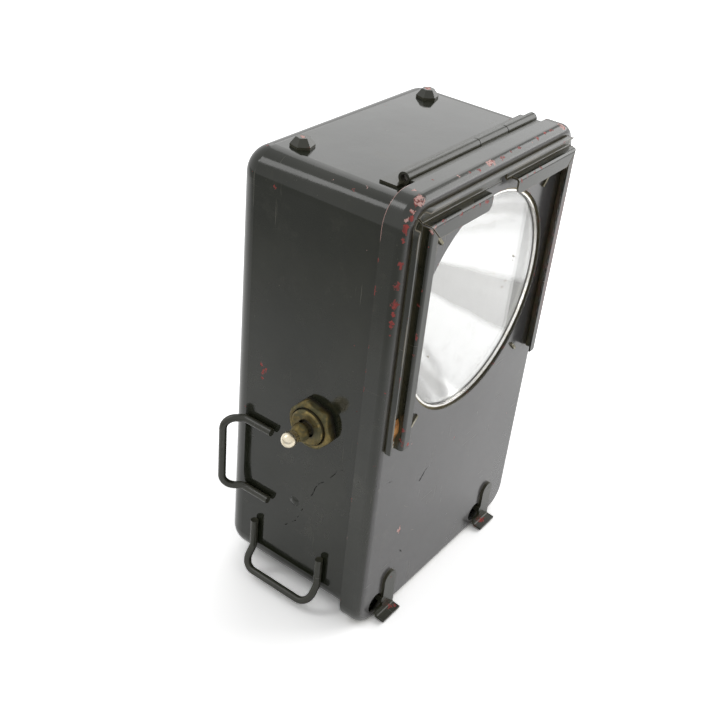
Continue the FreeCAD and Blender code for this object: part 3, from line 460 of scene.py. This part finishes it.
frame_red = [((-33.2, -3.5, 141.0), 0.6, ACROSS), ((-25.7, -3.6, 140.7), 0.7, ACROSS),
             ((-19.4, -3.7, 140.5), 0.6, ACROSS), ((-16.6, -3.7, 140.4), 0.6),
             ((-12.6, -3.7, 140.3), 0.8, ACROSS), ((-9.4, -3.7, 140.2), 0.6),
             ((9.4, -3.4, 141.1), 0.5, ACROSS), ((13.1, -3.4, 141.1), 0.5, ACROSS),
             ((17.4, -3.4, 141.1), 0.5, ACROSS), ((22.2, -3.2, 141.2), 0.55),
             ((5.6, -3.5, 140.6), 0.6, UPRIGHT), ((-38.8, -3.2, 135.4), 0.6),
             ((-38.9, -3.0, 122.8), 0.45), ((-38.9, -2.9, 118.3), 0.6),
             ((-38.8, -3.1, 108.6), 0.65, UPRIGHT), ((-38.7, -3.3, 102.7), 0.4),
             ((-38.9, -2.7, 85.0), 0.35), ((-38.8, -3.1, 77.6), 0.6, UPRIGHT),
             ((-38.8, -3.1, 73.0), 0.6, (1, 1, 0.3)), ((-36.0, -3.6, 71.0), 0.7)]
frame_pale = [((-38.6, -3.4, 140.0), 0.9), ((-37.6, -3.5, 141.0), 0.6, ACROSS)]
frame_stains = [((38.0, -3.2, 108.0), 10.0, (3.0, 1, 0.24))]
frame_rubbed = [((-36.0, -2.0, 142.0), 16.0), ((-41.0, -2.0, 108.0), 11.0), ((10.0, -2.0, 143.0), 12.0),
                ((36.0, -2.0, 140.0), 9.0), ((-41.0, -2.0, 80.0), 8.0), ((40.0, -2.0, 80.0), 9.0)]
catch_red = [((-29.5, -2.0, -0.6), 1.1, ACROSS), ((-27.6, -2.8, -1.0), 0.8),
             ((28.6, -2.2, -0.8), 1.2, ACROSS), ((-29.8, -1.0, 12.4), 0.5), ((26.6, -1.6, -0.6), 0.5)]
stud_pale = [((-30.8, 45.6, 147.9), 1.3), ((30.6, 46.0, 147.9), 1.3)]

paint_case = enamel("case_enamel", 0.0, case_red, case_pale, lines=case_cracks, wear=0.25, gloss=0.06)
paint_cover = enamel("cover_enamel", 3.7, cover_red, cover_pale, cover_rubbed, cover_lines, cover_light_lines,
                     wear=0.45, dirt=0.55, dirt_reach=0.0035, gloss=0.13, lighter_front_y=0.15, ior=1.58)
paint_frame = enamel("frame_enamel", 6.1, frame_red, frame_pale, wear=0.35, edge_size=0.0004, dirt=0.95,
                     gloss=0.13, stained=frame_stains, ior=1.58, rubbed=frame_rubbed, rub_tone=RUBBED_OLIVE,
                     rub_amount=0.8)
# Trim and studs take the lighter, painted-light copy of the enamel
paint_trim = enamel("trim_enamel", 9.4, catch_red, wear=0.1, edge_size=0.0004, dirt=0.35, gloss=0.20,
                    coat=PAINT_LIT, coat_worn=PAINT_LIT_WORN)
paint_stud = enamel("stud_enamel", 11.2, (), stud_pale, wear=0.2, edge_size=0.0003, dirt=0.3, gloss=0.2,
                    coat=PAINT_LIT, coat_worn=PAINT_LIT_WORN)
give(paint_case, "case_shell", "strap_rivets")
give(paint_stud, "top_studs", "base_studs")
give(paint_cover, "cover_shell")
give(paint_frame, "frame_rail_left", "frame_rail_right", "frame_rail_top")
give(paint_trim, "hinge_case_leaf", "hinge_cover_leaf", "strap_loop_side", "strap_loop_base",
     "catch_left", "catch_right")

brass_old = metal("brass_verdigris", (0.25, 0.19, 0.075), (0.10, 0.080, 0.034), 0.38, 380,
                  (0.075, 0.078, 0.036), 1.0, 0.75, 0.4, dark_reach=0.005)
brass_clean = metal("brass_clean", (0.72, 0.55, 0.27), (0.55, 0.40, 0.18), 0.28, 200,
                    (0.22, 0.17, 0.09), 3.0, 0.2)
nickel = metal("nickel_worn", (0.86, 0.80, 0.66), (0.66, 0.56, 0.38), 0.16, 300,
               (0.30, 0.22, 0.12), 4.0, 0.25)
steel = metal("steel_plain", (0.50, 0.49, 0.47), (0.34, 0.33, 0.31), 0.35, 240,
              (0.16, 0.10, 0.06), 5.0, 0.3)
tinned = metal("tinned_steel", (0.62, 0.58, 0.50), (0.42, 0.38, 0.30), 0.40, 420,
               (0.24, 0.20, 0.13), 6.0, 0.5)
clip_tin = metal("clip_tin_dull", (0.36, 0.34, 0.27), (0.20, 0.18, 0.12), 0.42, 420,
                 (0.10, 0.09, 0.05), 6.5, 0.7)
bronze = metal("bronze_leaf", (0.46, 0.23, 0.07), (0.26, 0.11, 0.03), 0.42, 520,
               (0.20, 0.075, 0.025), 7.0, 0.6)
give(brass_old, "switch_bush", "switch_nut")
give(brass_clean, "bulb_holder", "bulb_base", "battery_tongues", "battery_contact_short",
     "battery_contact_long", "lamp_contact")
give(steel, "hinge_pin", "switch_plate", "switch_pin")
give(tinned, "leaf_spring_rivets", "catch_keepers", "battery_strap", "board_brackets", "board_rivets",
     "switch_terminals")
give(clip_tin, "reflector_clips")
give(bronze, "filter_leaf_spring")
give(dull("bakelite", (0.035, 0.022, 0.016), (0.020, 0.012, 0.009), 0.35, 220), "switch_body")
give(dull("pressboard", (0.22, 0.11, 0.05), (0.13, 0.06, 0.03), 0.55, 500), "insulating_board")
give(dull("battery_jacket", (0.42, 0.38, 0.27), (0.30, 0.27, 0.19), 0.7, 160), "battery")
give(dull("waxed_cloth", (0.20, 0.03, 0.02), (0.11, 0.02, 0.015), 0.6, 1500, 0.5),
     "lead_battery", "lead_lamp")


# Marks in the bowl, listed like the marks of wear, and the patterns of its haze and specks
mirror_specks = [((31.6, 7.8, 103.5), 0.55), ((31.2, 8.0, 102.0), 0.4), ((30.2, 8.6, 94.6), 0.5),
                 ((32.3, 4.4, 110.6), 0.4), ((1.1, 16.3, 75.4), 0.6), ((13.3, 4.8, 72.1), 0.3),
                 ((31.0, 8.0, 105.5), 0.4), ((29.6, 9.0, 92.6), 0.4), ((-20.0, 8.0, 80.0), 0.5)]
mirror_smears = [((26.6, 15.0, 98.0), 5.5), ((29.0, 10.0, 104.0), 3.5)]
SPECK_SHAKE = ((900, 0.0016), (2600, 0.0007))
HAZE = Pattern(34, 5, 0.6, 0.45, 0.8)
STRAY_SPECKS = Pattern(420, 3, 0.6, 0.72, 0.74)
STRAY_FIELDS = Pattern(50, 2, 0.5, 0.52, 0.6)
SMEARING = Pattern(330, 6, 0.75, 0.52, 0.66)
OLD_BRASS = Pattern(500, 5, 0.7, 0.3, 0.7)
BRIGHT_BRASS = Pattern(300, 4, 0.6, 0.4, 0.8)

# Painted reflection: a grey wedge stands in for the dark part of the room seen in the bowl. It fades in
# between the first two angles and out between the last two, in degrees
REFLECTED_WEDGE = (-45, -39, -15, -9)

# Radius of the lens ring's bright rolled edge, in metres
RING_BRIGHT = 0.03455


def ring_material(inner):
    """Bright rolled inner edge, dull olive brass outside the given radius."""
    net = new_net("ring_brass")
    x, y, z = net.split()
    flat = net.add("ShaderNodeCombineXYZ", {0: x, 2: z}).outputs[0]
    away = net.vector("DISTANCE", flat, (at(0, 0, 0).x, 0.0, at(0, 0, LENS_Z).z))
    away = net.plus(away, net.times(net.noise(700, 3, 0.6), 0.0003))
    dulled = net.ramp(away, inner, inner + 0.0002)
    old = net.mix(net.patches(OLD_BRASS), (0.17, 0.14, 0.07), (0.085, 0.072, 0.04))
    new = net.mix(net.patches(BRIGHT_BRASS), (0.90, 0.89, 0.86), (0.72, 0.68, 0.58))
    normal = net.bump(net.noise(900), 0.1, 0.0002)
    rough = net.ramp(dulled, 0, 1, 0.22, 0.42)
    return net.surface(Base_Color=net.mix(dulled, new, old), Metallic=1.0, Roughness=rough, Normal=normal)


def mirror_material():
    """Silvered bowl with a streaked grey wedge of painted reflection, brown specks and a faint haze."""
    net = new_net("silvered_bowl")
    x, y, z = net.split()
    x = net.minus(x, at(0, 0, 0).x)
    z = net.minus(z, at(0, 0, LENS_Z).z)
    angle = net.math("ARCTAN2", z, x)
    angle = net.plus(angle, net.times(net.minus(net.noise(70, 4, 0.6), 0.5), 0.10))
    # Mask of the painted reflection's wedge, by the angle round the lens axis
    first, full, last_full, last = [math.radians(turn) for turn in REFLECTED_WEDGE]
    reflected_wedge = net.times(net.ramp(angle, first, full), net.ramp(angle, last, last_full))
    ray = net.add("ShaderNodeCombineXYZ", {0: net.times(angle, 30.0), 1: net.times(y, 60.0)}).outputs[0]
    reflection_streaks = net.ramp(net.noise(6.0, 5, 0.6, ray), 0.25, 0.75, 0.75, 1.0)
    haze = net.patches(HAZE)
    jagged = net.jagged(SPECK_SHAKE, net.place())
    strays = net.times(net.patches(STRAY_SPECKS), net.patches(STRAY_FIELDS))
    specks = net.most(net.blots(mirror_specks, jagged), net.times(strays, 0.8))
    smear = net.times(net.blots(mirror_smears, net.place()), net.patches(SMEARING))
    colour = net.mix(haze, (0.995, 0.995, 0.99), (0.96, 0.96, 0.955))
    # Painted reflection: a streaked grey for the dark part of the room mirrored in the bowl
    reflected_grey = net.mix(reflection_streaks, (0.42, 0.42, 0.41), (0.55, 0.545, 0.53))
    colour = net.mix(net.times(reflected_wedge, 0.95), colour, reflected_grey)
    colour = net.mix(net.times(smear, 0.35), colour, (0.55, 0.50, 0.36))
    colour = net.mix(specks, colour, (0.26, 0.19, 0.09))
    rough = net.plus(net.ramp(haze, 0, 1, 0.17, 0.24), net.times(specks, 0.4))
    rough = net.plus(rough, net.times(reflected_wedge, 0.12))
    normal = net.bump(net.noise(55, 2, 0.5), 0.05, 0.0006)
    return net.surface(Base_Color=colour, Metallic=1.0, Roughness=rough, Normal=normal)


def glass_material(name, dust):
    net = new_net(name)
    film = net.plus(net.noise(120, 7, 0.72), net.times(net.noise(900, 3, 0.6), 0.2))
    film = net.ramp(film, 0.62, 0.9)
    amount = net.times(film, dust)
    colour = net.mix(amount, (0.995, 0.998, 0.995), (0.60, 0.56, 0.47))
    return net.surface(Base_Color=colour, Transmission_Weight=net.minus(1.0, amount),
                       Roughness=net.ramp(film, 0, 1, 0.01, 0.05), IOR=1.5)


give(ring_material(RING_BRIGHT), "lens_ring")
give(mirror_material(), "reflector")
give(glass_material("lens_clear", 0.12), "lens_glass")
give(glass_material("bulb_clear", 0.1), "bulb_glass")


def add_piece(name, mesh):
    piece = bpy.data.objects.new(name, mesh)
    scene.collection.objects.link(piece)
    return piece


def cut_by_flats(radius, turn, flats):
    """The radius at an angle, cut back to a hexagon: its flats' distance from the axis and its turn."""
    from_flat = (turn - math.radians(flats[1])) % (math.pi / 3) - math.pi / 6
    return min(radius, flats[0] / math.cos(from_flat))


def turned(name, start, profile, materials, steps=48, flats=None, hollow=False):
    """A round piece about the X axis: profile points are distance out from the start, radius and material.
    A hollow piece closes on its first ring, and any other has a flat face at each end."""
    points = []
    for out, radius, _ in profile:
        for i in range(steps):
            turn = 2 * math.pi * i / steps
            reach = radius if flats is None else cut_by_flats(radius, turn, flats)
            away = Vector((-out, reach * math.cos(turn), reach * math.sin(turn)))
            points.append(Vector(start) + away / MM_PER_METRE)
    last = (len(profile) - 1) * steps
    faces = []
    slots = []
    for k in range(len(profile) - 1):
        for i in range(steps):
            j = (i + 1) % steps
            faces.append((k * steps + i, (k + 1) * steps + i, (k + 1) * steps + j, k * steps + j))
            slots.append(profile[k][2])
    if hollow:
        faces += [(last + i, i, (i + 1) % steps, last + (i + 1) % steps) for i in range(steps)]
        slots += [profile[-1][2]] * steps
    else:
        faces += [tuple(range(steps)), tuple(reversed(range(last, last + steps)))]
        slots += [profile[0][2], profile[-1][2]]
    mesh = bpy.data.meshes.new(name)
    mesh.from_pydata(points, [], faces)
    for polygon, slot in zip(mesh.polygons, slots):
        polygon.material_index = slot
        polygon.use_smooth = True
    for material in materials:
        mesh.materials.append(material)
    mesh.validate()
    return add_piece(name, mesh)


def ball(centre, radius, steps, slot):
    """Profile points round a ball, at the given sixteenths of a half turn."""
    turns = [math.pi * i / 16 for i in steps]
    return [(centre - radius * math.cos(turn), radius * math.sin(turn), slot) for turn in turns]


# The switch sits on the case's left face. Lengths in millimetres
SWITCH_AT = at(-43.4, 24.3, 68.7)
BRASS = 0
NICKEL = 1

# Toggle lever: pivot ball, slim neck, a dull brass sleeve and a bright ball tip
PIVOT_DEPTH = 1.0
PIVOT_RADIUS = 3.6
NECK_RADIUS = 1.9
TIP_OUT = 12.0
TIP_RADIUS = 2.5
lever_profile = ball(PIVOT_DEPTH, PIVOT_RADIUS, range(2, 14), BRASS)
lever_profile += [(4.15, NECK_RADIUS, BRASS), (6.0, NECK_RADIUS, BRASS), (6.15, 2.6, BRASS),
                  (6.5, 2.95, BRASS), (7.4, 2.9, BRASS), (9.3, 2.15, BRASS), (9.7, 1.95, BRASS),
                  (9.85, 1.95, NICKEL)]
lever_profile += ball(TIP_OUT, TIP_RADIUS, range(5, 16), NICKEL)
lever_profile.append((TIP_OUT + TIP_RADIUS, 0.05, NICKEL))
lever = turned("lever_turned", SWITCH_AT, lever_profile, (brass_old, nickel))
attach(lever, "lever")
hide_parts("switch_lever")

# Nut with its corners turned round, a little smaller than the plain one
NUT_CORNER = 8.15
NUT_BORE = 5.95
NUT_FLAT = 7.35
NUT_TURN = 12.0
nut_profile = [(0.0, NUT_CORNER, BRASS), (1.7, NUT_CORNER, BRASS), (2.3, 8.0, BRASS), (2.8, 7.7, BRASS),
               (3.2, 7.3, BRASS), (3.45, 6.9, BRASS), (3.5, 6.3, BRASS), (3.2, NUT_BORE, BRASS),
               (0.0, NUT_BORE, BRASS)]
nut = turned("nut_turned", SWITCH_AT, nut_profile, (brass_old,), steps=96, flats=(NUT_FLAT, NUT_TURN),
             hollow=True)
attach(nut, "case")
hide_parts("switch_nut")

# The outer wall of the frame's right strips: where it starts (mm), how far in it moves (m), and the share
# of its depth that stays
WALL_FROM = 40.6
WALL_SHIFT = 0.0014
WALL_SHARE = 0.62


def narrowed(node, name):
    """A copy of a frame strip whose right outer wall stands further in and lower."""
    mesh = nodes[node].data.copy()
    mesh.name = name
    wall_x = at(WALL_FROM, 0, 0).x
    face_y = at(0, 0, 0).y
    for vertex in mesh.vertices:
        if vertex.co.x > wall_x:
            vertex.co.x -= WALL_SHIFT
            vertex.co.y = face_y + (vertex.co.y - face_y) * WALL_SHARE
    mesh.update()
    piece = add_piece(name, mesh)
    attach(piece, "cover")
    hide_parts(node)


narrowed("frame_rail_right", "rail_right_narrow")
narrowed("frame_rail_top", "rail_top_narrow")

FLOOR_SIZE = 3.0
FLOOR_PLAIN = 0.80
FLOOR_LIFT = 0.60
ROOM_SOFT = 0.50
DIM_STRENGTH = 0.52
DIM_FROM = -0.09
DIM_FULL = -0.26


def seen_rays(net):
    """The kinds of ray, and 1 for those by which the camera sees: straight, by gloss or through glass."""
    rays = net.add("ShaderNodeLightPath").outputs
    return rays, net.most(rays["Is Camera Ray"], rays["Is Glossy Ray"], rays["Is Transmission Ray"])


def diffuse(net, level):
    return net.add("ShaderNodeBsdfDiffuse", {"Color": (level, level, level)}).outputs[0]


def blend(net, factor, a, b):
    return net.add("ShaderNodeMixShader", {0: factor, 1: a, 2: b}).outputs[0]


def floor_material():
    """Plain to the light that it gives back, and white to the camera and to gloss."""
    net = new_net("studio_floor")
    rays, seen = seen_rays(net)
    white = diffuse(net, 1.0)
    bright = net.add("ShaderNodeAddShader", {0: white, 1: diffuse(net, FLOOR_LIFT)}).outputs[0]
    paper = net.add("ShaderNodeAddShader", {0: white, 1: white}).outputs[0]
    shown = blend(net, seen, diffuse(net, FLOOR_PLAIN), bright)
    shown = blend(net, rays["Is Camera Ray"], shown, paper)
    # Far to the left the gloss of the case meets a darker part of the room
    far_left = net.ramp(net.split()[0], DIM_FROM, DIM_FULL)
    dim = net.add("ShaderNodeEmission", {"Color": WHITE, "Strength": DIM_STRENGTH}).outputs[0]
    first_bounce = net.math("LESS_THAN", rays["Ray Depth"], 1.5)
    only_gloss = net.times(rays["Is Glossy Ray"], first_bounce, far_left)
    net.link(blend(net, only_gloss, shown, dim), net.out.inputs["Surface"])
    return net.owner


bpy.ops.mesh.primitive_plane_add(size=FLOOR_SIZE, location=(0, 0, 0))
floor = bpy.context.active_object
floor.name = "studio_floor"
floor.data.materials.append(floor_material())

# Soft light on the object, and a white background behind it
world = bpy.data.worlds.new("studio_world")
scene.world = world
sky = Net(world, "ShaderNodeOutputWorld")
seen = seen_rays(sky)[1]
soft = sky.add("ShaderNodeBackground", {0: WHITE, 1: ROOM_SOFT}).outputs[0]
pale = sky.add("ShaderNodeBackground", {0: WHITE, 1: 1.0}).outputs[0]
sky.link(blend(sky, seen, soft, pale), sky.out.inputs["Surface"])


def softbox(name, place, aim, size, power):
    data = bpy.data.lights.new(name, "AREA")
    data.shape = "RECTANGLE"
    data.size, data.size_y = size
    data.energy = power
    lamp = bpy.data.objects.new(name, data)
    scene.collection.objects.link(lamp)
    lamp.location = place
    lamp.rotation_euler = (Vector(aim) - Vector(place)).to_track_quat("-Z", "Y").to_euler()


softbox("key_rear", (0.56, 0.39, 0.59), (0, 0.01, 0.148), (0.55, 0.55), 1.0)
softbox("fill_right", (0.72, -0.40, 0.46), (0, 0, 0.10), (0.8, 0.5), 3.4)
softbox("strip_left", (-0.36, 0.46, 0.72), (0, 0.0, 0.14), (0.16, 0.5), 0.8)

# The photograph's camera: its focal length in pixels of a picture this wide, its place in the CAD's
# working frame (mm) and its own axes
PICTURE_WIDTH = 724
FOCAL_LENGTH = 1068.663
SENSOR_WIDTH = 36.0
CAMERA_AT = at(-248.268, -126.877, 257.565)
CAMERA_RIGHT = Vector((0.601813, -0.793508, 0.090364))
CAMERA_UP = Vector((0.391833, 0.391964, 0.832365))
CAMERA_AIM = Vector((0.695908, 0.46552, -0.546812))
camera_data = bpy.data.cameras.new("camera")
camera = bpy.data.objects.new("camera", camera_data)
scene.collection.objects.link(camera)
scene.camera = camera
camera_data.sensor_fit = "HORIZONTAL"
camera_data.sensor_width = SENSOR_WIDTH
camera_data.lens = FOCAL_LENGTH / PICTURE_WIDTH * SENSOR_WIDTH
camera_data.clip_start = 0.01
turn = Matrix((CAMERA_RIGHT, CAMERA_UP, -CAMERA_AIM)).transposed().to_4x4()
camera.matrix_world = Matrix.Translation(CAMERA_AT) @ turn

scene.view_settings.view_transform = "Standard"
